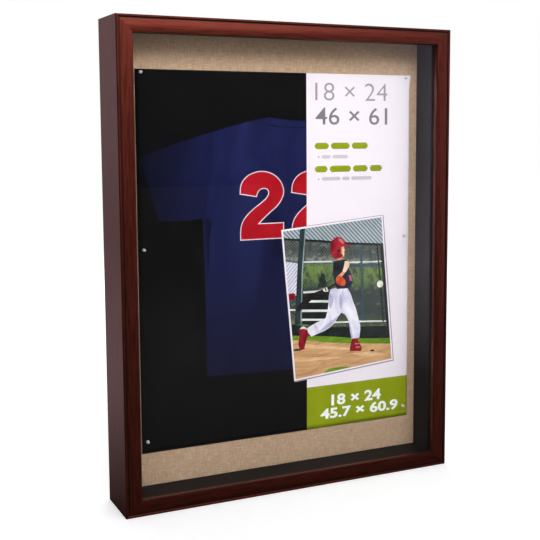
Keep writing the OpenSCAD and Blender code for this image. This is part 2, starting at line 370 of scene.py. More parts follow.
def linenMaterial():
    look = linenLook
    mat, shader = newMaterial("linenWeave", Roughness=0.92, Sheen_Weight=0.15)
    coords = objectCoords(mat)
    warpSlub = noiseOf(mat, stretched(mat, coords, (640, 640, 90)), 1.0, 3.0, 0.6)
    weftSlub = noiseOf(mat, stretched(mat, coords, (90, 640, 640)), 1.0, 3.0, 0.6)
    patches = noiseOf(mat, coords, 11.0, 3.0, 0.55)
    warp = bandsOf(mat, coords, "X", look["thread"])
    weft = bandsOf(mat, coords, "Z", look["thread"])
    threads = maths(mat, "MULTIPLY", maths(mat, "ADD", warp, weft), 0.5)
    slubs = maths(mat, "MULTIPLY", maths(mat, "ADD", warpSlub, weftSlub), 0.5)
    base = ramp(mat, slubs, list(zip((0.36, 0.5, 0.64), look["yarns"])))
    gaps = spread(mat, threads, 0.25, 0.0, 0.05, 0.45)
    base = mixColour(mat, gaps, base, look["gap"])
    base = washed(mat, base, look["patch"], patches, 0.2, 0.45, 0.7)
    plug(mat, base, shader.inputs["Base Color"])
    woven = bumpInto(mat, shader, threads, 0.18 * mm, 0.5)
    bumpInto(mat, shader, slubs, 0.3 * mm, 0.5, woven)
    return mat


def stretchLinen():
    look = linenLook
    low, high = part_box("linen_cover")
    halfW, height, side = high.x, high.z - low.z, high.y - low.y
    radius = look["cornerRound"]
    cols = round(2 * halfW / look["gridStep"])
    rows = round(height / look["gridStep"])

    def wrap(flat, half):
        # a place along the cloth from the middle becomes a place out and a place down the board's side
        straight = half - radius
        if flat <= straight:
            return flat, 0.0
        bend = (flat - straight) / radius
        if bend <= math.pi / 2:
            return straight + radius * math.sin(bend), radius * (1 - math.cos(bend))
        return half, radius + (flat - straight - radius * math.pi / 2)

    def places(half, count):
        turns, drops = look["roundSteps"], look["sideSteps"]
        inner = [(-1 + 2 * i / count) * (half - radius) for i in range(count + 1)]
        outer = [half - radius + radius * math.pi / 2 * i / turns for i in range(1, turns + 1)]
        outer += [outer[-1] + (side - radius) * i / drops for i in range(1, drops + 1)]
        return [-v for v in reversed(outer)] + inner + outer

    midZ = (low.z + high.z) / 2
    across, up = places(halfW, cols), places(height / 2, rows)
    bm = bmesh.new()
    made = {}
    for i, u in enumerate(across):
        x, yx = wrap(abs(u), halfW)
        for j, v in enumerate(up):
            z, yz = wrap(abs(v), height / 2)
            if yx > radius * 0.99 and yz > radius * 0.99:
                continue      # the corner's spare cloth is folded away
            x1, z1 = math.copysign(x, u), math.copysign(z, v)
            often = look["puckersPerMetre"]
            wave = noise.noise(Vector((x1 * often, 3.1, z1 * often))) * look["pucker"]
            y = low.y + max(yx, yz)
            if yx == 0 and yz == 0:
                y += abs(wave)
            made[i, j] = bm.verts.new((x1, y, midZ + z1))
    for i in range(len(across) - 1):
        for j in range(len(up) - 1):
            corners = [(i, j), (i + 1, j), (i + 1, j + 1), (i, j + 1)]
            if all(c in made for c in corners):
                bm.faces.new([made[c] for c in corners])
    # the side flaps meet at the corners
    bmesh.ops.remove_doubles(bm, verts=bm.verts, dist=0.05 * mm)
    bmesh.ops.recalc_face_normals(bm, faces=bm.faces)
    mesh = meshOf("linen", bm)
    obj = link("linen", mesh, [linenMaterial()])
    if mesh.polygons[len(mesh.polygons) // 2].normal.y > 0:
        mesh.flip_normals()
    for face in mesh.polygons:
        face.use_smooth = True
    thicken(obj, "clothThickness", look["thickness"])
    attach(obj, "back")
    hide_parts("linen_cover")


stretchLinen()
print("linen stretched")


# the display sheet and its print

sheetLow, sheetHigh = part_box("display_sheet")
sheetMidX = (sheetLow.x + sheetHigh.x) / 2
sheetMidZ = (sheetLow.z + sheetHigh.z) / 2
sheetHalfW = (sheetHigh.x - sheetLow.x) / 2
sheetHalfH = (sheetHigh.z - sheetLow.z) / 2

sheetLook = {
    "bow": 1.6 * mm,            # how far the sheet lifts between its pins
    "thickness": 0.35 * mm,
    "step": 8.0 * mm,
    "panelFrom": 44.0 * mm,     # left edge of the pale panel
    "bandTop": 126.0 * mm,      # top of the green band
    "curl": 3.0 * mm,           # lift of the top right corner
    "curlReach": 22.0 * mm,
    "crease": 0.5 * mm,         # height of the crease across that corner
    "creaseAt": 16.0 * mm,
    "creaseWidth": 2.2 * mm,
    "fineSpan": 24.0 * mm,      # the mesh is finer this near the corner
    "fineStep": 2.0 * mm,
    "clear": 0.15 * mm,         # off the linen
    "layer": 0.04 * mm,         # one ink over another
    "cutStep": 12.0 * mm,       # prints are cut this often, so that they follow the sheet
}


def sheetFront(x, z):
    # front surface of the sheet: lowest near the rows of pins, with a shallow wave between them
    look = sheetLook
    u = (x - sheetMidX) / sheetHalfW
    v = (z - sheetMidZ) / sheetHalfH
    wave = 0.5 - 0.5 * math.cos(2 * math.pi * (v + 1))
    lift = look["bow"] * (0.25 + 0.5 * wave) * (0.5 + 0.5 * (1 - u * u))
    corner = max(0.0, 1 - math.hypot(x - sheetHigh.x, z - sheetHigh.z) / look["curlReach"])
    lift += look["curl"] * corner ** 1.5
    crease = (x - sheetHigh.x) + (z - sheetHigh.z) + look["creaseAt"]
    lift += look["crease"] * math.exp(-(crease / look["creaseWidth"]) ** 2) * min(1.0, corner * 3)
    return sheetHigh.y - look["thickness"] - look["clear"] - lift


def gridStops(low, high, step, breaks=()):
    ends = sorted([low, high, *breaks])
    stops = [low]
    for a, b in zip(ends, ends[1:]):
        count = max(1, round((b - a) / step))
        stops += [a + (b - a) * i / count for i in range(1, count + 1)]
    return stops


def inkShader(name, roughness=0.34):
    return newMaterial(name, Roughness=roughness, Specular_IOR_Level=0.05)


def inkMaterial(name, colour, other=None, roughness=0.34, patchScale=20.0, spotty=0.05):
    # printed ink: a fine dot grain, a slow change of tone and a faint gloss
    mat, shader = inkShader(name, roughness)
    coords = objectCoords(mat)
    dots = noiseOf(mat, coords, 1500.0, 2.0, 0.5)
    patches = noiseOf(mat, coords, patchScale, 3.0, 0.55)
    shaded = tuple(v * (1 - spotty) for v in colour[:3]) + (1,)
    base = washed(mat, colour, other or shaded, patches, 1.0, 0.35, 0.65)
    base = washed(mat, base, shaded, dots, spotty * 2, 0.4, 0.7)
    plug(mat, base, shader.inputs["Base Color"])
    bumpInto(mat, shader, dots, 0.005 * mm, 0.1)
    return mat


inks = {
    "black": inkMaterial("inkBlack", rgb(12, 12, 13), rgb(15, 15, 16), 0.3),
    "white": inkMaterial("inkWhite", rgb(240, 228, 237), rgb(235, 223, 233), patchScale=8.0, spotty=0.02),
    "paper": inkMaterial("paperBack", rgb(232, 230, 226), None, 0.6, 12.0, 0.03),
    "green": inkMaterial("inkGreen", rgb(143, 154, 20), rgb(136, 147, 14)),
    "grey": inkMaterial("inkGrey", rgb(158, 150, 155)),
    "darkGrey": inkMaterial("inkDarkGrey", rgb(128, 120, 126)),
    "paleGrey": inkMaterial("inkPaleGrey", rgb(200, 192, 200)),
    "red": inkMaterial("inkRed", rgb(172, 20, 33), rgb(162, 15, 27), 0.32),
    "line": inkMaterial("inkLine", rgb(232, 208, 220), None, 0.32),
    "number": inkMaterial("inkNumber", rgb(246, 246, 240), None, 0.32),
}


shirtLook = {
    "cloth": (rgb(17, 20, 50), rgb(24, 28, 68), rgb(34, 38, 84)),
    "dusk": rgb(14, 14, 22),
    "hem": rgb(16, 18, 31),
    "knit": rgb(12, 14, 30),
    "seam": rgb(15, 18, 40),
}


def jerseyMaterial():
    # printed cloth: long soft folds, darker to the left sleeve and to the hem
    look = shirtLook
    mat, shader = inkShader("inkJersey")
    coords = objectCoords(mat)
    folds = noiseOf(mat, stretched(mat, coords, (16, 1, 4.5)), 1.0, 3.0, 0.5, 0.6)
    knit = noiseOf(mat, coords, 900.0, 2.0, 0.5)
    base = ramp(mat, folds, list(zip((0.3, 0.5, 0.72), look["cloth"])))
    split = addNode(mat, "SeparateXYZ", Vector=coords)
    dusk = spread(mat, split.outputs[0], 0.9, 0.0, -0.2, -0.09)
    base = mixColour(mat, dusk, base, look["dusk"])
    low = spread(mat, split.outputs[2], 0.75, 0.0, 0.14, 0.4)
    base = mixColour(mat, low, base, look["hem"])
    base = washed(mat, base, look["knit"], knit, 0.15, 0.4, 0.7)
    plug(mat, base, shader.inputs["Base Color"])
    bumpInto(mat, shader, knit, 0.005 * mm, 0.1)
    return mat


def makeSheet():
    look = sheetLook

    def stops(low, high, edge):
        fineFrom = high - look["fineSpan"]
        coarse = gridStops(low, high, look["step"], [edge, fineFrom])
        return sorted({round(v, 6) for v in coarse + gridStops(fineFrom, high, look["fineStep"])})

    xs = stops(sheetLow.x, sheetHigh.x, look["panelFrom"])
    zs = stops(sheetLow.z, sheetHigh.z, look["bandTop"])
    bm = bmesh.new()
    grid = [[bm.verts.new((x, sheetFront(x, z), z)) for z in zs] for x in xs]
    for i in range(len(xs) - 1):
        for j in range(len(zs) - 1):
            face = bm.faces.new((grid[i][j], grid[i + 1][j], grid[i + 1][j + 1], grid[i][j + 1]))
            middle = face.calc_center_median()
            face.smooth = True
            face.material_index = 0
            if middle.x > look["panelFrom"]:
                face.material_index = 1 if middle.z > look["bandTop"] else 2
    faces = [inks["black"], inks["white"], inks["green"], inks["paper"]]
    obj = link("display_sheet_print", meshOf("displaySheet", bm), faces)
    thick = thicken(obj, "paperThickness", look["thickness"])
    thick.material_offset = 3
    thick.material_offset_rim = 3
    return obj


def filled(name, curve):
    holder = link(name, curve)
    bpy.context.view_layer.update()
    mesh = bpy.data.meshes.new_from_object(holder.evaluated_get(bpy.context.evaluated_depsgraph_get()))
    bpy.data.objects.remove(holder)
    return mesh


def outlineMesh(points, grow=0.0):
    # points in millimetres across and up; a third entry marks a round point
    curve = bpy.data.curves.new("outline", "CURVE")
    curve.dimensions = "2D"
    curve.fill_mode = "BOTH"
    curve.resolution_u = 6
    curve.offset = grow * mm
    spline = curve.splines.new("BEZIER")
    spline.bezier_points.add(len(points) - 1)
    for knot, point in zip(spline.bezier_points, points):
        knot.co = (point[0] * mm, point[1] * mm, 0)
        knot.handle_left_type = knot.handle_right_type = "AUTO" if len(point) > 2 else "VECTOR"
    spline.use_cyclic_u = True
    return filled("outline", curve)


def numberMesh(text, width, height, weight):
    # plain figures from the built-in face, from their foot and left edge, in metres
    curve = bpy.data.curves.new("figures", "FONT")
    curve.body = text
    curve.size = height * 1.37      # that face's size over the height of its figures
    curve.offset = weight
    curve.resolution_u = 4
    mesh = filled("figures", curve)
    left, right = min(v.co.x for v in mesh.vertices), max(v.co.x for v in mesh.vertices)
    mesh.transform(Matrix.Diagonal((width / (right - left), 1, 1, 1)) @ Matrix.Translation((-left, 0, 0)))
    return mesh


def cutAt(part, point, outward, clear=False):
    everything = part.verts[:] + part.edges[:] + part.faces[:]
    bmesh.ops.bisect_plane(part, geom=everything, plane_co=point, plane_no=outward, clear_outer=clear)


def cutAcross(part, axis, step):
    span = [v.co[axis] for v in part.verts]
    stop = math.floor(min(span) / step) * step
    while stop < max(span):
        point, outward = [0, 0, 0], [0, 0, 0]
        point[axis], outward[axis] = stop, 1
        cutAt(part, point, outward)
        stop += step


class Print:
    # collects flat shapes and lays them on the sheet, each layer just proud of the last
    def __init__(self):
        self.bm = bmesh.new()
        self.mats = []

    def add(self, mesh, mat, layer, place=None, keep=()):
        part = bmesh.new()
        part.from_mesh(mesh)
        bpy.data.meshes.remove(mesh)
        if place is not None:
            bmesh.ops.transform(part, matrix=place, verts=part.verts)
        for point, outward in keep:
            cutAt(part, point, outward, clear=True)
        if part.verts:
            for axis in (0, 1):
                cutAcross(part, axis, sheetLook["cutStep"])
        if mat not in self.mats:
            self.mats.append(mat)
        index = self.mats.index(mat)
        made = {}
        for vert in part.verts:
            x, z = vert.co.x, vert.co.y
            y = sheetFront(x, z) - layer * sheetLook["layer"]
            made[vert] = self.bm.verts.new((x, y, z))
        for face in part.faces:
            corners = [made[v] for v in face.verts]
            if face.normal.z < 0:
                corners.reverse()
            copy = self.bm.faces.new(corners)
            copy.material_index = index
            copy.smooth = True
        part.free()

    def finish(self, name, frameOf=None):
        mesh = meshOf(name, self.bm)
        obj = link(name, mesh, self.mats)
        if frameOf is not None:
            mesh.transform(frameOf.inverted())
            obj.matrix_world = frameOf
            bpy.context.view_layer.update()
        return obj


panelKeep = [((sheetLook["panelFrom"], 0, 0), (1, 0, 0))]
sheetKeep = [((sheetLow.x, 0, 0), (-1, 0, 0))]


def printJersey():
    made = Print()
    cloth = jerseyMaterial()
    shirt = [(-160, 478, 1), (-107, 494, 1), (-60, 507, 1), (-13, 517), (4, 514.5, 1), (24, 512.5, 1),
             (60, 513), (60, 157), (20, 157, 1), (-40, 158, 1), (-110, 160), (-111, 300, 1), (-113, 380),
             (-140, 377.5, 1), (-175, 379), (-186, 420, 1), (-199, 464)]
    made.add(outlineMesh(shirt), cloth, 1, None, panelKeep + sheetKeep)
    seam = inkMaterial("inkSeam", shirtLook["seam"])
    armhole = [(-114, 380), (-112.8, 381), (-105.4, 425, 1), (-104.6, 446), (-106.2, 425, 1)]
    neckBand = [(-24, 509.5), (-12, 507, 1), (8, 504.5, 1), (46, 503), (46, 501.6), (6, 503, 1),
                (-16, 506, 1)]
    sideFold = [(-109, 372), (-106.5, 380, 1), (-104, 345, 1), (-106, 300)]
    hem = [(-110, 166), (-60, 163.5, 1), (20, 163), (20, 162.2), (-60, 162.7, 1), (-110, 165.2)]
    for points, keep in ((armhole, []), (neckBand, panelKeep), (sideFold, []), (hem, [])):
        made.add(outlineMesh(points), seam, 2, None, keep)
    return made.finish("print_jersey")


# one figure two, 65 mm wide and 93 mm high, from its top left corner
figureTwo = [(0, -29.5), (1.8, -17, 1), (9.5, -7, 1), (20, -1.8, 1), (31, 0, 1), (45, -2.5, 1),
             (56, -9.5, 1), (62.5, -19, 1), (64.7, -29, 1), (62, -38, 1), (55.5, -47, 1), (44, -56.5, 1),
             (34.5, -64.5, 1), (25.5, -73), (64.7, -73), (64.7, -93.5), (0.5, -93.5), (0.5, -82, 1),
             (3, -70.5, 1), (10.5, -60, 1), (21, -51, 1), (33.5, -42, 1), (40.5, -35.5, 1), (43, -29, 1),
             (41, -24.5, 1), (35.5, -22.5, 1), (28.5, -24.5, 1), (25, -29, 1), (23.5, -33.5)]

figuresLook = {
    "starts": (-57.5, 21.0),
    "top": 441.5,
    "outline": 1.3,
}


def printFigures():
    look = figuresLook
    made = Print()
    for start in look["starts"]:
        placed = Matrix.Translation((start * mm, look["top"] * mm, 0))
        made.add(outlineMesh(figureTwo, look["outline"]), inks["line"], 3, placed, panelKeep)
        made.add(outlineMesh(figureTwo, 0.0), inks["red"], 4, placed, panelKeep)
    return made.finish("print_figures")


def bar(x, z, width, height):
    r = height * 0.35
    return [(x + r, z), (x + width - r, z), (x + width, z + r, 1), (x + width, z + height - r, 1),
            (x + width - r, z + height), (x + r, z + height), (x, z + height - r, 1), (x, z + r, 1)]


panelLook = {
    "figures": [
        # text, left edge, foot, width, height, added weight, ink
        ("18 × 24", 58, 541, 118, 27, -0.3, "grey"),
        ("46 × 61", 58, 507, 118, 25.5, 0.1, "darkGrey"),
        ("18 × 24", 84, 95, 84, 16, 0.7, "number"),
        ("45.7 × 60.9", 66, 76, 132, 15, 0.7, "number"),
    ],
    # rows of bars: left edge, foot and the bars' widths
    "greenRows": ((57, 472, (22, 30, 26)), (57, 439, (20, 34, 24, 20))),
    "greyRows": ((68, 458.5, (14, 25)), (68, 427, (30, 12, 34))),
    "greenHigh": 9,
    "greyHigh": 5,
    "greenGap": 4,
    "greyGap": 3,
    "dot": 2.4,
}


def printPanel():
    look = panelLook
    made = Print()
    for text, x, z, width, height, weight, ink in look["figures"]:
        mesh = numberMesh(text, width * mm, height * mm, weight * mm)
        made.add(mesh, inks[ink], 1, Matrix.Translation((x * mm, z * mm, 0)))
    for x, z, widths in look["greenRows"]:
        for width in widths:
            made.add(outlineMesh(bar(x, z, width, look["greenHigh"])), inks["green"], 1)
            x += width + look["greenGap"]
    for x, z, widths in look["greyRows"]:
        made.add(outlineMesh(bar(x - 6, z + 1, look["dot"], look["dot"])), inks["grey"], 1)
        for width in widths:
            made.add(outlineMesh(bar(x, z, width, look["greyHigh"])), inks["paleGrey"], 1)
            x += width + look["greyGap"]
    return made.finish("print_panel")


# the small picture: a young batter, drawn in millimetres from the picture's top left corner

pictureLook = {
    "corner": (4.1, 358.7),      # its top left corner on the sheet
    "turn": 5.0,                 # degrees anticlockwise
    "size": (166.0, 221.5),
    "border": 2.6,
    "shadeBy": (1.2, 1.6),       # its shadow on the sheet, across and down
    "rimFrom": (-0.4, -0.6),     # the grey rim round the white card
    "rimPast": 0.8,
    "slope": 0.19,               # the ground and the fences run down to the right
    "wirePitch": 3.4,
    "firstLayer": 5,
    "layerStep": 0.12,
    "bands": [                   # how far down, and the colour of the far ground there
        (0, (92, 94, 90)), (26, (58, 62, 60)), (36, (80, 82, 78)), (42, (142, 142, 134)),
        (46, (64, 78, 80)), (50, (104, 126, 52)), (66, (94, 118, 46)), (78, (66, 88, 42)),
        (84, (28, 38, 38)), (100, (36, 48, 46)), (118, (24, 34, 34)), (130, (54, 70, 38)),
        (137, (96, 110, 42)), (141, (32, 42, 40)), (152, (28, 38, 38))],
    "blots": rgb(26, 31, 30),
    "haze": rgb(158, 160, 146),
    "wire": rgb(140, 150, 146),
}

# light and dark of each tone, how its folds run and how gritty it is
pictureTones = {
    "post": ((44, 60, 66), (28, 40, 46), (120, 1, 30), 0.0),
    "postSide": ((146, 160, 160), (104, 122, 124), (120, 1, 30), 0.0),
    "bluePost": ((70, 88, 102), (52, 70, 84), (120, 1, 30), 0.0),
    "bench": ((232, 232, 226), (196, 200, 196), (40, 1, 200), 0.0),
    "dark": ((36, 44, 43), (18, 23, 24), (90, 1, 160), 0.3),
    "bush": ((46, 58, 50), (28, 36, 38), (160, 1, 160), 0.3),
    "grass": ((116, 152, 34), (84, 116, 20), (60, 1, 400), 0.5),
    "dirt": ((216, 168, 122), (184, 136, 92), (26, 1, 170), 0.7),
    "dirtLight": ((232, 192, 150), (208, 162, 116), (40, 1, 300), 0.6),
    "helmet": ((168, 34, 48), (120, 16, 30), (70, 1, 70), 0.0),
    "helmetLight": ((222, 128, 132), (196, 72, 82), (120, 1, 120), 0.0),
    "skin": ((226, 158, 120), (196, 112, 80), (80, 1, 60), 0.0),
    "skinLight": ((244, 216, 188), (228, 184, 148), (80, 1, 60), 0.0),
    "feature": ((96, 48, 38), (70, 34, 28), (200, 1, 200), 0.0),
    "shirt": ((38, 42, 56), (20, 22, 30), (60, 1, 90), 0.0),
    "shirtBlue": ((36, 44, 82), (24, 30, 58), (60, 1, 90), 0.0),
    "glove": ((222, 96, 48), (176, 60, 30), (90, 1, 90), 0.0),
    "trousers": ((238, 234, 244), (196, 190, 216), (60, 1, 34), 0.0),
    "fold": ((188, 182, 210), (170, 164, 196), (60, 1, 34), 0.0),
    "shoe": ((150, 26, 38), (104, 14, 26), (90, 1, 60), 0.0),
    "shoeLight": ((222, 110, 118), (196, 72, 84), (90, 1, 60), 0.0),
    "bat": ((48, 38, 40), (26, 20, 24), (60, 1, 60), 0.0),
    "ball": ((250, 246, 238), (206, 196, 182), (70, 1, 90), 0.0),
}


def sceneryMaterial():
    # the far ground, out of focus: bands that follow the slope, with ragged edges
    look = pictureLook
    mat, shader = inkShader("inkScenery")
    coords = objectCoords(mat)
    split = addNode(mat, "SeparateXYZ", Vector=coords)
    across, down = split.outputs[0], maths(mat, "MULTIPLY", split.outputs[2], -1.0)
    level = maths(mat, "SUBTRACT", down, maths(mat, "MULTIPLY", across, look["slope"]))
    soft = noiseOf(mat, stretched(mat, coords, (90, 1, 160)), 1.0, 4.0, 0.6)
    level = maths(mat, "ADD", level, spread(mat, soft, -4 * mm, 4 * mm, 0.3, 0.7))
    reach = 160
    base = ramp(mat, spread(mat, level, 0.0, 1.0, 0.0, reach * mm),
                [(place / reach, rgb(*colour)) for place, colour in look["bands"]])
    blots = noiseOf(mat, stretched(mat, coords, (110, 1, 60)), 1.0, 3.0, 0.6, 0.5)
    base = washed(mat, base, look["blots"], blots, 0.85, 0.47, 0.64)
    pale = noiseOf(mat, stretched(mat, coords, (60, 1, 140)), 1.0, 3.0, 0.6)
    base = washed(mat, base, look["haze"], pale, 0.5, 0.57, 0.74)
    # the wire fence in front of it
    wires = []
    for tilt in (42, -42):
        wave = bandsOf(mat, tilted(mat, coords, tilt), "X", look["wirePitch"] * mm)
        wires.append(spread(mat, wave, 1.0, 0.0, 0.0, 0.22))
    fence = maths(mat, "MULTIPLY", maths(mat, "MAXIMUM", *wires), 0.34)
    plug(mat, mixColour(mat, fence, base, look["wire"]), shader.inputs["Base Color"])
    return mat


def stripedMaterial(name, light, dark, pitch, tilt, ground=0.5):
    # slanting bars, as a roof's battens or a wire mesh shows them
    mat, shader = inkShader(name)
    coords = objectCoords(mat)
    soft = noiseOf(mat, coords, 60.0, 2.0, 0.5)
    wave = bandsOf(mat, tilted(mat, coords, tilt), "X", pitch * mm, 0.6)
    base = washed(mat, dark, light, wave, 1.0, ground - 0.25, ground + 0.25)
    base = washed(mat, base, dark, soft, 0.3, 0.4, 0.7)
    plug(mat, base, shader.inputs["Base Color"])
    return mat


def shadedMaterial(name, light, dark, scale, speckle):
    # two tones that run into each other, for cloth, skin and ground
    mat, shader = inkShader(name)
    coords = objectCoords(mat)
    folds = noiseOf(mat, stretched(mat, coords, scale), 1.0, 4.0, 0.55, 0.8)
    base = ramp(mat, folds, [(0.34, dark), (0.62, light)])
    if speckle:
        grit = noiseOf(mat, stretched(mat, coords, (420, 1, 760)), 1.0, 3.0, 0.7)
        shade = tuple(v * 0.45 for v in dark[:3]) + (1,)
        base = washed(mat, base, shade, grit, speckle, 0.5, 0.72)
    plug(mat, base, shader.inputs["Base Color"])
    return mat


def mixTones():
    tones = {
        "rim": inkMaterial("inkRim", rgb(74, 62, 70)),
        "shade": inkMaterial("inkShade", rgb(176, 164, 172)),
        "white": inks["white"],
        "scenery": sceneryMaterial(),
        "roof": stripedMaterial("inkRoof", rgb(178, 186, 192), rgb(104, 116, 124), 4.4, 40),
        "mesh": stripedMaterial("inkMesh", rgb(222, 216, 232), rgb(168, 166, 186), 4.2, -48, 0.35),
    }
    for tone, (light, dark, scale, speckle) in pictureTones.items():
        name = "ink" + tone[0].upper() + tone[1:]
        tones[tone] = shadedMaterial(name, rgb(*light), rgb(*dark), scale, speckle)
    return tones


# each shape is a tone and its outline; a third entry marks a round point

def strip(tone, thick, *top):
    # the lower edge follows the upper one
    return tone, [*top] + [(x, y + thick) for x, y in reversed(top)]


def fieldShapes(edge, wide, high):
    right, foot = wide - edge, high - edge
    return [
        ("scenery", [(edge, edge), (right, edge), (right, foot), (edge, foot)]),
        # a roof and its edge, with the far side of the ground under it
        ("roof", [(edge, edge), (right, edge), (right, 42), (104, 32.5), (60, 23), (edge, 12.5)]),
        ("dark", [(edge, 12), (60, 22.5), (104, 32), (right, 42), (right, 45.5), (104, 35.5), (60, 26),
                  (edge, 15)]),
        ("mesh", [(edge, 46), (21, 51), (17, 96, 1), (edge, 98)]),
        strip("bench", 2, (30, 49.5), (76, 55.5)),
        strip("bench", 2, (104, 61), (right, 68)),
        strip("bluePost", 4, (104, 65), (right, 72)),
        ("bush", [(49, 92), (50.5, 86), (53, 84), (52.5, 79), (56, 75), (57.5, 71), (61, 71.5), (63.5, 76),
                  (62, 80), (64.5, 85), (62.5, 92)]),
        ("shoe", [(edge, 93), (12, 94, 1), (13, 100, 1), (edge, 103)]),
        # benches behind the wire
        ("dark", [(24, 93), (70, 100), (70, 152), (20, 140)]),
        strip("bench", 3, (26, 93), (66, 96.5)),
        strip("bench", 3.5, (27, 106), (70, 113)),
        strip("bench", 3.5, (19, 118.5), (64, 126)),
        strip("bench", 3, (17, 131.5), (62, 139.5)),
        strip("bench", 2.5, (edge, 115), (14, 117)),
        strip("bench", 2.5, (68, 145), (112, 151), (right, 159.5)),
        strip("dark", 1.5, (68, 147.5), (112, 153.5), (right, 162)),
        # posts, and the near one with its lit side
        ("bluePost", [(123.5, 38), (127.5, 39), (124.5, 96, 1), (122, 153), (116.5, 152), (121, 96, 1)]),
        ("dark", [(152, 43), (154, 43.5), (155, 110, 1), (155, 160), (152.5, 160), (152.5, 110, 1)]),
        ("dark", [(158, 45), (right, 46), (right, 186), (159, 185)]),
        ("postSide", [(36, edge), (38.5, edge), (28, 66), (19.5, 136), (16, 136), (25, 66)]),
        ("post", [(29, edge), (37, edge), (26, 66), (17, 140), (8, 139), (19, 66)]),
        # the wall's foot, the grass and the dirt in front of it
        ("dark", [(edge, 137), (30, 146), (60, 152), (right, 168), (right, 187), (110, 178), (60, 166),
                  (30, 160), (edge, 154)]),
        ("grass", [(edge, 154), (30, 159.5, 1), (60, 165.5, 1), (110, 177.5, 1), (right, 187),
                   (right, 196), (110, 186, 1), (60, 175, 1), (30, 167, 1), (edge, 162)]),
        ("dirt", [(edge, 161), (30, 166.5, 1), (60, 174.5, 1), (110, 185.5, 1), (right, 195.5),
                  (right, foot), (edge, foot)]),
        ("dirtLight", [(22, 170), (60, 180, 1), (94, 189), (94, 192.5), (60, 185, 1), (20, 175)]),
        ("dirtLight", [(edge, 189), (40, 193, 1), (88, 203), (40, 197.5, 1), (edge, 194)]),
        ("dirtLight", [(96, 198), (130, 203, 1), (158, 211), (120, 207.5, 1)]),
        ("grass", [(48, foot), (56, 214.5, 1), (66, 214), (80, 215.5, 1), (98, foot)]),
        ("dark", [(edge, 174.5), (14, 175.5, 1), (20, 177), (12, 178, 1), (edge, 176.5)]),
        ("dark", [(127, 199.5), (132, 199, 1), (135, 200.5, 1), (130, 201.5, 1)]),
    ]


def batterShapes():
    return [
        # bat and shoes
        ("bat", [(80, 88), (62, 94.5), (40, 98.5, 1), (24, 106.5), (13.5, 115.5, 1), (12.5, 119.5, 1),
                 (16, 121.5, 1), (22, 118.5), (34, 110, 1), (46, 103.5, 1), (62, 98), (81, 91.5)]),
        ("shoe", [(14, 147), (20, 145), (28, 148), (31, 157), (26, 162, 1), (24, 166), (21.5, 172, 1),
                  (20, 177.5), (12, 177.5), (11.5, 167, 1), (14, 156, 1)]),
        ("bench", [(15, 147), (20, 143.5, 1), (26, 146.5), (27, 149.5), (20, 147, 1)]),
        ("shoe", [(99, 176), (108, 177), (110.5, 185, 1), (114, 193, 1), (112, 197.5), (103, 196, 1),
                  (93.5, 194), (95, 187, 1)]),
        ("shoeLight", [(103, 183.5), (109.5, 184.5), (110.3, 186.5), (103, 186)]),
        ("shoeLight", [(104, 189), (111.5, 190), (112.6, 192), (104, 191.5)]),
        # trousers and their folds
        ("trousers", [(70, 97), (80, 96), (97, 98.5), (102, 108, 1), (105, 119, 1), (109, 132),
                      (111.5, 145, 1), (114, 160, 1), (111, 177), (98, 176), (96.5, 160, 1), (94.5, 147, 1),
                      (90, 138, 1), (84.5, 134), (79, 139, 1), (70, 149, 1), (58, 155, 1), (44, 158.5),
                      (33, 161), (28, 154), (27, 147.5), (42, 142, 1), (58, 138), (62, 128, 1), (65, 115, 1),
                      (67, 104, 1)]),
        ("fold", [(86, 104), (88, 118, 1), (84.5, 133.5), (82, 118, 1)]),
        ("fold", [(79, 138), (70, 148, 1), (58, 154, 1), (44, 157.5), (56, 149, 1), (70, 142, 1)]),
        ("fold", [(97, 150), (99, 162, 1), (100, 175), (97.8, 175), (96.2, 160, 1)]),
        ("fold", [(68, 101), (73, 112, 1), (67, 126), (64.8, 118, 1)]),
        # shirt, arm and gloves
        ("shirt", [(79, 95), (77, 82, 1), (76.5, 70, 1), (78, 57), (86, 56.5), (94, 56.5), (101, 57.5),
                   (104, 63), (103, 72), (106, 82, 1), (107, 90, 1), (104, 98.5), (92, 99.5), (80, 97)]),
        ("shirtBlue", [(98, 73), (103, 74), (107, 84, 1), (106.5, 92, 1), (103.5, 98.5), (98.5, 98.5),
                       (99.5, 86, 1)]),
        ("shoeLight", [(102, 80.5), (105.8, 82), (106.4, 90), (102.6, 89.5)]),
        ("skinLight", [(97, 59), (102.5, 60, 1), (104, 65, 1), (100, 72, 1), (94, 77.5), (91.5, 74),
                       (95, 66, 1)]),
        ("skin", [(92, 73.5), (96, 76), (90, 81, 1), (84, 84), (82, 80)]),
        ("bench", [(57, 94.5), (64, 92.5), (65.5, 96), (59, 98.5)]),
        ("shoe", [(60, 93.8), (62, 93.2), (63.4, 96.8), (61.6, 97.6)]),
        ("glove", [(79.5, 84), (82.5, 79.5, 1), (88, 80), (93, 84.5, 1), (95.5, 91, 1), (92, 95.5, 1),
                   (86, 93.5), (81, 90)]),
        ("shirt", [(80, 93.5), (98, 95.5), (98, 99.8), (80, 98)]),
    ]


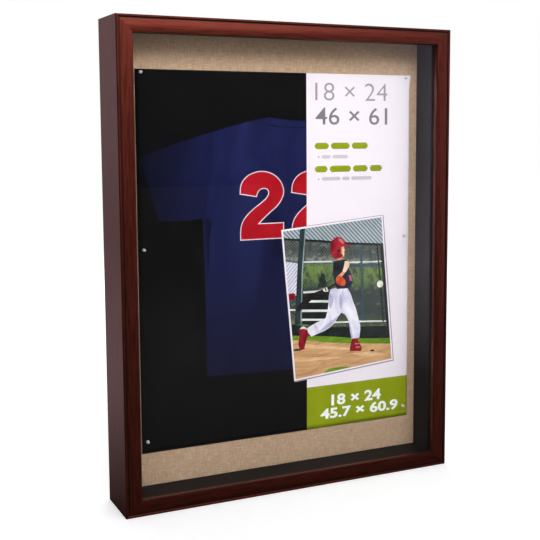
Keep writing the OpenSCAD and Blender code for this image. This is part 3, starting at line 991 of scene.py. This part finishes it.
def headShapes():
    # plain proportions: the eyes halfway down, and below them the nose ends a third of the way
    # to the chin and the mouth a little over half
    high, middle = 27.0, (88.5, 39.5)
    # points in head heights from its middle
    shapes = [
        ("skin", [(-0.1, 0.3), (0.16, 0.3), (0.16, 0.62), (-0.1, 0.62)]),
        ("skin", [(-0.1, -0.2), (0.31, -0.2), (0.33, -0.06, 1), (0.335, 0.0), (0.385, 0.14), (0.335, 0.17),
                  (0.345, 0.25), (0.335, 0.3), (0.325, 0.38, 1), (0.28, 0.47, 1), (0.18, 0.47, 1),
                  (0.02, 0.36, 1)]),
        ("skinLight", [(0.24, -0.1), (0.315, -0.1), (0.32, 0.02), (0.36, 0.14), (0.31, 0.165),
                       (0.3, 0.3, 1), (0.25, 0.42, 1), (0.2, 0.3, 1), (0.22, 0.1, 1)]),
        # brow, eye and mouth
        ("feature", [(0.235, -0.035), (0.305, -0.03), (0.3, -0.015), (0.24, -0.018)]),
        ("feature", [(0.25, 0.02), (0.275, 0.01, 1), (0.3, 0.025), (0.275, 0.04, 1)]),
        ("feature", [(0.275, 0.265), (0.335, 0.26), (0.335, 0.272), (0.285, 0.283)]),
        # helmet with its peak, its highlight and its ear hole
        ("helmet", [(-0.5, 0.0, 1), (-0.49, -0.28, 1), (-0.32, -0.54, 1), (-0.05, -0.66, 1),
                    (0.22, -0.55, 1), (0.38, -0.34, 1), (0.43, -0.2), (0.72, -0.12), (0.72, -0.07),
                    (0.4, -0.08), (0.16, -0.08), (0.14, 0.1, 1), (0.1, 0.3), (0.2, 0.34, 1),
                    (0.2, 0.43, 1), (-0.05, 0.52, 1), (-0.3, 0.5), (-0.42, 0.3, 1)]),
        ("helmetLight", [(0.02, -0.58), (0.16, -0.52, 1), (0.3, -0.36, 1), (0.33, -0.22), (0.22, -0.28, 1),
                         (0.08, -0.42, 1)]),
        ("shirt", [(-0.08, 0.08), (0.0, 0.02, 1), (0.06, 0.1, 1), (0.0, 0.18, 1)]),
    ]
    return [(tone, [(middle[0] + p[0] * high, middle[1] + p[1] * high, *p[2:]) for p in points])
            for tone, points in shapes]


def ballShapes():
    x, y, radius = 153, 102, 5.2
    turns = [t * math.pi / 4 for t in range(8)]
    outline = [(x + radius * math.cos(turn), y + radius * math.sin(turn), 1) for turn in turns]
    return [("ball", outline), ("shoeLight", [(149.5, 99), (151.5, 102, 1), (150, 105.5), (150.9, 102, 1)])]


def printPicture():
    look = pictureLook
    wide, high = look["size"]
    corner = Matrix.Translation((look["corner"][0] * mm, look["corner"][1] * mm, 0))
    placed = corner @ Matrix.Rotation(math.radians(look["turn"]), 4, "Z")
    tones = mixTones()
    card = [(0, 0), (wide, 0), (wide, high), (0, high)]
    (shadeX, shadeY), (rimX, rimY), past = look["shadeBy"], look["rimFrom"], look["rimPast"]
    backing = [
        ("shade", [(x + shadeX, y + shadeY) for x, y in card]),
        ("rim", [(rimX, rimY), (wide + past, rimY), (wide + past, high + past), (rimX, high + past)]),
        ("white", card),
    ]
    drawn = fieldShapes(look["border"], wide, high) + batterShapes() + headShapes() + ballShapes()
    made = Print()
    layer = look["firstLayer"]
    for tone, points in backing + drawn:
        up = [(p[0], -p[1], *p[2:]) for p in points]
        made.add(outlineMesh(up), tones[tone], layer, placed)
        layer += look["layerStep"] if tone != "white" else 1
    # the picture's own axes: across, into the sheet and up
    across = (placed @ Vector((1, 0, 0, 0))).xyz
    rise = (placed @ Vector((0, 1, 0, 0))).xyz
    origin = placed.translation
    frameOf = Matrix(((across.x, 0, rise.x, origin.x), (0, 1, 0, 0),
                      (across.y, 0, rise.y, origin.y), (0, 0, 0, 1)))
    return made.finish("print_picture", frameOf)


sheetPiece = makeSheet()
for piece in (sheetPiece, printJersey(), printFigures(), printPanel(), printPicture()):
    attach(piece, "back")
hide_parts("display_sheet")
print("sheet and print made")


# clear pins

pinLook = {
    "around": 28,
    # radius and place along +Y, in millimetres, from the knob's end to the collar's foot
    "profile": [(0, -5), (1.0, -4.95), (1.55, -4.7), (1.8, -4.3), (1.8, -3.7), (1.6, -3.35), (1.2, -3.05),
                (1.1, -2.4), (1.15, -1.6), (1.4, -1.2), (1.9, -0.95), (2.15, -0.7), (2.2, -0.4),
                (2.1, -0.1), (1.9, 0), (0, 0)],
    "cloudy": (0.86, 0.9, 0.93, 1),
    "clear": (0.95, 0.97, 0.98, 1),
    "transmission": 0.45,
}


def lathe(name, profile, around):
    bm = bmesh.new()
    rings = []
    for radius, y in profile:
        if radius < 1e-6:
            rings.append([bm.verts.new((0, y * mm, 0))])
            continue
        turns = [2 * math.pi * k / around for k in range(around)]
        rings.append([bm.verts.new((radius * mm * math.cos(turn), y * mm, radius * mm * math.sin(turn)))
                      for turn in turns])
    for a, b in zip(rings, rings[1:]):
        for k in range(around):
            n = (k + 1) % around
            corners = [a[k % len(a)], a[n % len(a)], b[n % len(b)], b[k % len(b)]]
            bm.faces.new(list(dict.fromkeys(corners)))
    bmesh.ops.recalc_face_normals(bm, faces=bm.faces)
    mesh = meshOf(name, bm)
    for face in mesh.polygons:
        face.use_smooth = True
    return mesh


def clearPlastic():
    look = pinLook
    mat, shader = newMaterial("clearPlastic", Roughness=0.06, IOR=1.49,
                              Transmission_Weight=look["transmission"])
    cloudy = noiseOf(mat, objectCoords(mat), 700.0, 2.0, 0.5)
    base = ramp(mat, cloudy, [(0.3, look["cloudy"]), (0.7, look["clear"])])
    plug(mat, base, shader.inputs["Base Color"])
    return mat


metals = [
    # name, pale and dark patches, roughness and how the scratches run
    ("zincPlate", (0.74, 0.74, 0.72, 1), (0.58, 0.58, 0.57, 1), 0.3, (900, 900, 260)),
    ("stampedSteel", (0.66, 0.65, 0.62, 1), (0.5, 0.49, 0.47, 1), 0.36, (300, 900, 1400)),
    ("nickelPlate", (0.72, 0.7, 0.66, 1), (0.6, 0.58, 0.55, 1), 0.24, (1200, 1200, 400)),
]


def metalMaterial(name, light, dark, roughness, scratch):
    mat, shader = newMaterial(name, Roughness=roughness, Metallic=1.0)
    coords = objectCoords(mat)
    scratches = noiseOf(mat, stretched(mat, coords, scratch), 1.0, 4.0, 0.6)
    patches = noiseOf(mat, coords, 260.0, 3.0, 0.6)
    base = ramp(mat, patches, [(0.35, dark), (0.65, light)])
    plug(mat, base, shader.inputs["Base Color"])
    worn = spread(mat, scratches, roughness - 0.08, roughness + 0.14, 0.3, 0.7)
    plug(mat, worn, shader.inputs["Roughness"])
    bumpInto(mat, shader, scratches, 0.02 * mm, 0.3)
    return mat


zinc, stamped, nickel = (metalMaterial(*look) for look in metals)

headMesh = lathe("pinHead", pinLook["profile"], pinLook["around"])
headMesh.materials.append(clearPlastic())
for number in range(1, 7):
    low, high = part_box(f"pin_head_{number}")
    head = link(f"clear_pin_head_{number}", headMesh)
    head.location = ((low.x + high.x) / 2, high.y, (low.z + high.z) / 2)
    bpy.context.view_layer.update()
    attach(head, f"pin_{number}")
    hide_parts(f"pin_head_{number}")
    dress(f"pin_needle_{number}", zinc)
print("pins made")


# fittings on the rear

fittings = [
    # nodes, metal, eased edge, its segments and the least angle that is eased
    (["corner_nails", "turn_button_screws", "hanger_screws"], zinc, 0.12 * mm, 2, 30),
    ([f"turn_button_{number}" for number in range(1, 9)], stamped, 0.35 * mm, 3, 40),
    (["left_hanger_strap", "right_hanger_strap"], nickel, 0.25 * mm, 2, 40),
]

for nodeNames, metal, *edge in fittings:
    for nodeName in nodeNames:
        easeEdges(dress(nodeName, metal), *edge)
for side in ("left", "right"):
    dress(side + "_hanger_ring", nickel)
print("fittings dressed")


# floor, world, lamps and camera

studio = {
    "floorSize": 14.0,
    "floorPaint": (0.75, 0.75, 0.75, 1),
    "ambient": 0.46,
    "floorTopUp": (0.4, 0.67),                    # under the object, and out on the open floor
    "floorOpens": (0.45, 1.9),
    "mirroredFront": (0.07, 0.06, 0.06, 1),       # what polished faces see where no lamp is
    "mirroredHorizon": (0.006, 0.006, 0.006, 1),
    "mirroredBack": (0.6, 0.5, 0.54, 1),
    "windowGlow": (0.92, 0.83, 1.0, 1),           # polished faces show a pale window to the front right
    "windowHeading": (0.8, -0.6, 0.0),
    "windowEdges": (0.9, 0.975),
    "windowOnFloor": (0.75, 2.4),                 # its light on the floor fades in over this stretch
    "floorShare": 0.78,                           # and is this much of the window's own
    "lamps": [
        # name, place, aim, width, height, watts
        ("frontLamp", (0.1, -1.32, 1.13), (0, 0, 0.42), 1.3, 0.36, 11.2),
        ("keyLamp", (-0.9, -1.7, 1.35), (0, 0, 0.4), 1.2, 0.7, 9.1),
        ("topLamp", (0.0, 0.5, 2.4), (0, 0, 0.3), 1.4, 1.0, 8),
        ("rearLamp", (0.5, 2.0, 1.5), (0, 0, 0.3), 1.4, 1.0, 22),
    ],
    "camera": {"lens": 67.76, "shift": (-0.1, -0.055), "place": (-0.585, -1.284, 0.504),
               "yaw": 26.73, "pitch": -6.38},
}


def lookedAt(mat):
    # one where the eye sees a surface itself or through the glass, and one where a polished face shows it
    path = addNode(mat, "LightPath")
    noDiffuse = maths(mat, "LESS_THAN", path.outputs["Diffuse Depth"], 0.5)
    noGlossy = maths(mat, "LESS_THAN", path.outputs["Glossy Depth"], 0.5)
    straight = maths(mat, "MULTIPLY", noDiffuse, noGlossy)
    through = maths(mat, "MULTIPLY", path.outputs["Is Transmission Ray"], straight)
    seen = maths(mat, "MAXIMUM", path.outputs["Is Camera Ray"], through)
    shown = maths(mat, "MULTIPLY", noDiffuse, maths(mat, "SUBTRACT", 1.0, noGlossy))
    return seen, shown


def towardWindow(mat, direction):
    heading = addNode(mat, "VectorMath", {"operation": "NORMALIZE"}, Vector=direction).outputs[0]
    toward = addNode(mat, "VectorMath", {"operation": "DOT_PRODUCT"})
    plug(mat, heading, toward.inputs[0])
    plug(mat, studio["windowHeading"], toward.inputs[1])
    return spread(mat, toward.outputs["Value"], 0.0, 1.0, *studio["windowEdges"])


def makeFloor():
    mesh = bpy.data.meshes.new("floor")
    half = studio["floorSize"] / 2
    corners = [(-half, -half, 0), (half, -half, 0), (half, half, 0), (-half, half, 0)]
    mesh.from_pydata(corners, [], [(0, 1, 2, 3)])
    mat, shader = newMaterial("paleFloor", Roughness=0.9, Specular_IOR_Level=0.0)
    seen, shown = lookedAt(mat)
    coords = objectCoords(mat)
    place = addNode(mat, "SeparateXYZ", Vector=coords)
    behind = spread(mat, place.outputs[1], 0.0, 1.0, 0.0, 0.6)
    mirrored = mixColour(mat, behind, studio["mirroredFront"], studio["mirroredBack"])
    paint = mixColour(mat, shown, studio["floorPaint"], mirrored)
    plug(mat, paint, shader.inputs["Base Color"])
    # the window's light on the floor, as polished faces show it
    span = addNode(mat, "VectorMath", {"operation": "LENGTH"}, Vector=coords).outputs["Value"]
    faded = spread(mat, span, 0.0, studio["floorShare"], *studio["windowOnFloor"])
    lit = maths(mat, "MULTIPLY", maths(mat, "MULTIPLY", towardWindow(mat, coords), faded), shown)
    bare = spread(mat, span, *studio["floorTopUp"], *studio["floorOpens"])
    topUp = maths(mat, "MAXIMUM", lit, maths(mat, "MULTIPLY", seen, bare))
    plug(mat, mixColour(mat, lit, (1, 1, 1, 1), studio["windowGlow"]), shader.inputs["Emission Color"])
    plug(mat, topUp, shader.inputs["Emission Strength"])
    floor = link("floor", mesh, [mat])


def makeWorld():
    world = bpy.data.worlds.new("studio")
    scene.world = world
    world.use_nodes = True
    world.node_tree.nodes.clear()
    seen, shown = lookedAt(world)
    ambient = studio["ambient"]
    direction = addNode(world, "TexCoord").outputs["Generated"]
    heading = addNode(world, "SeparateXYZ", Vector=direction)
    behind = spread(world, heading.outputs[1], 0.0, 1.0, 0.1, 0.7)
    # the dark front lightens upwards from where it meets the floor
    above = spread(world, heading.outputs[2], 0.0, 1.0, 0.0, 0.35)
    front = mixColour(world, above, studio["mirroredHorizon"], studio["mirroredFront"])
    mirrored = mixColour(world, behind, front, studio["mirroredBack"])
    mirrored = mixColour(world, towardWindow(world, direction), mirrored, studio["windowGlow"])
    colour = mixColour(world, shown, (ambient, ambient, ambient * 1.02, 1), mirrored)
    colour = mixColour(world, seen, colour, (1, 1, 1, 1))
    backdrop = addNode(world, "Background", Color=colour, Strength=1.0)
    out = addNode(world, "OutputWorld")
    plug(world, backdrop.outputs[0], out.inputs[0])


def aimAt(obj, place, target):
    obj.location = place
    obj.rotation_euler = (Vector(target) - Vector(place)).to_track_quat("-Z", "Y").to_euler()


def makeLamps():
    for name, place, target, width, height, watts in studio["lamps"]:
        data = bpy.data.lights.new(name, "AREA")
        data.shape = "RECTANGLE"
        data.size, data.size_y, data.energy = width, height, watts
        lamp = link(name, data)
        aimAt(lamp, place, target)


def makeCamera():
    view = studio["camera"]
    data = bpy.data.cameras.new("camera")
    data.lens = view["lens"]
    data.shift_x, data.shift_y = view["shift"]
    cam = link("camera", data)
    cam.location = view["place"]
    yaw, pitch = math.radians(view["yaw"]), math.radians(view["pitch"])
    ahead = Vector((math.sin(yaw) * math.cos(pitch), math.cos(yaw) * math.cos(pitch), math.sin(pitch)))
    cam.rotation_euler = ahead.to_track_quat("-Z", "Y").to_euler()
    scene.camera = cam


makeFloor()
makeWorld()
makeLamps()
makeCamera()
print("studio ready")
